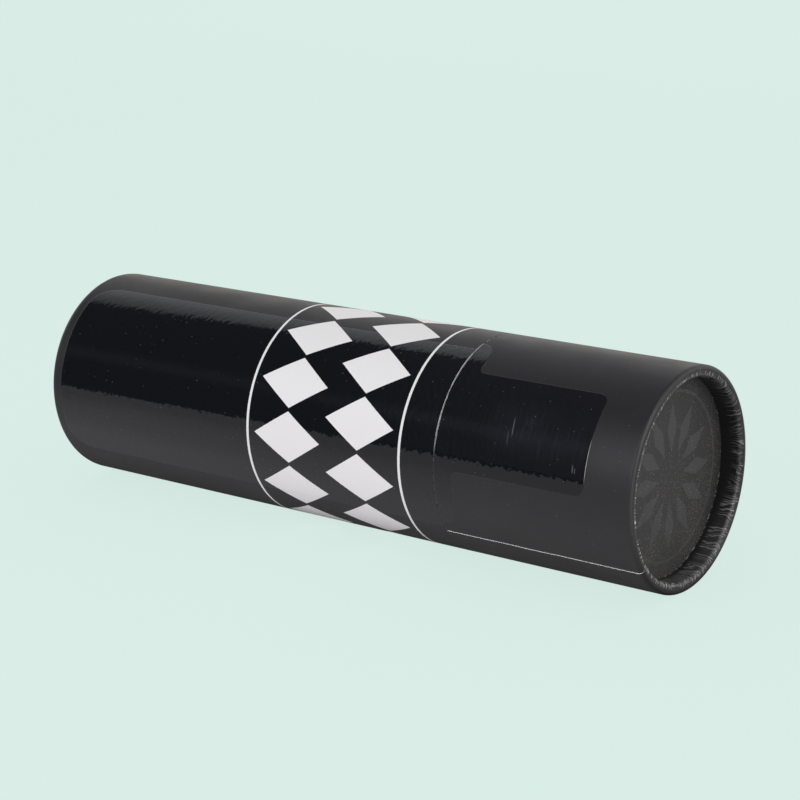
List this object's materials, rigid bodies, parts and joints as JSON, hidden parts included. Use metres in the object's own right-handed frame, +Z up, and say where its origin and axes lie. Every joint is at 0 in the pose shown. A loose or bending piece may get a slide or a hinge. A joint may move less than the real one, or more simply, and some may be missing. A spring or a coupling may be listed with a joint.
{
  "type": "cylindrical gift tube box",
  "caption": "Round rolled-board gift tube with curled rims, recessed end discs and a full-diameter lid that slides over an inner neck.",
  "frame": {"origin": "middle of the length, on the line where the tube rests on its side", "axes": "+X along the tube's axis towards the lid, +Z up, -Y towards the printed front"},
  "size_m": [0.28, 0.084, 0.084],
  "materials": {
    "greyboard": "raw cut greyboard",
    "printed_wrap": "matt film with gloss varnish panels",
    "disc_paper": "matt black, fine sparkle grain",
    "neck_paper": "matt black dyed paper",
    "lining_paper": "matt black dyed paper"
  },
  "bodies": {
    "body": {"body_tube": "greyboard", "body_wrap": "printed_wrap", "neck_tube": "greyboard", "neck_cover": "neck_paper", "neck_lining": "lining_paper", "base_disc": "greyboard", "base_disc_cover": "disc_paper", "base_lining": "lining_paper"},
    "lid": {"lid_tube": "greyboard", "lid_wrap": "printed_wrap", "lid_lining": "lining_paper", "lid_disc": "greyboard", "lid_disc_cover": "disc_paper", "lid_disc_lining": "lining_paper"}
  },
  "joints": [
    {"name": "lid_slide", "type": "slide", "parent": "body", "child": "lid", "axis": [1, 0, 0], "range_m": [0, 0.3]}
  ]
}
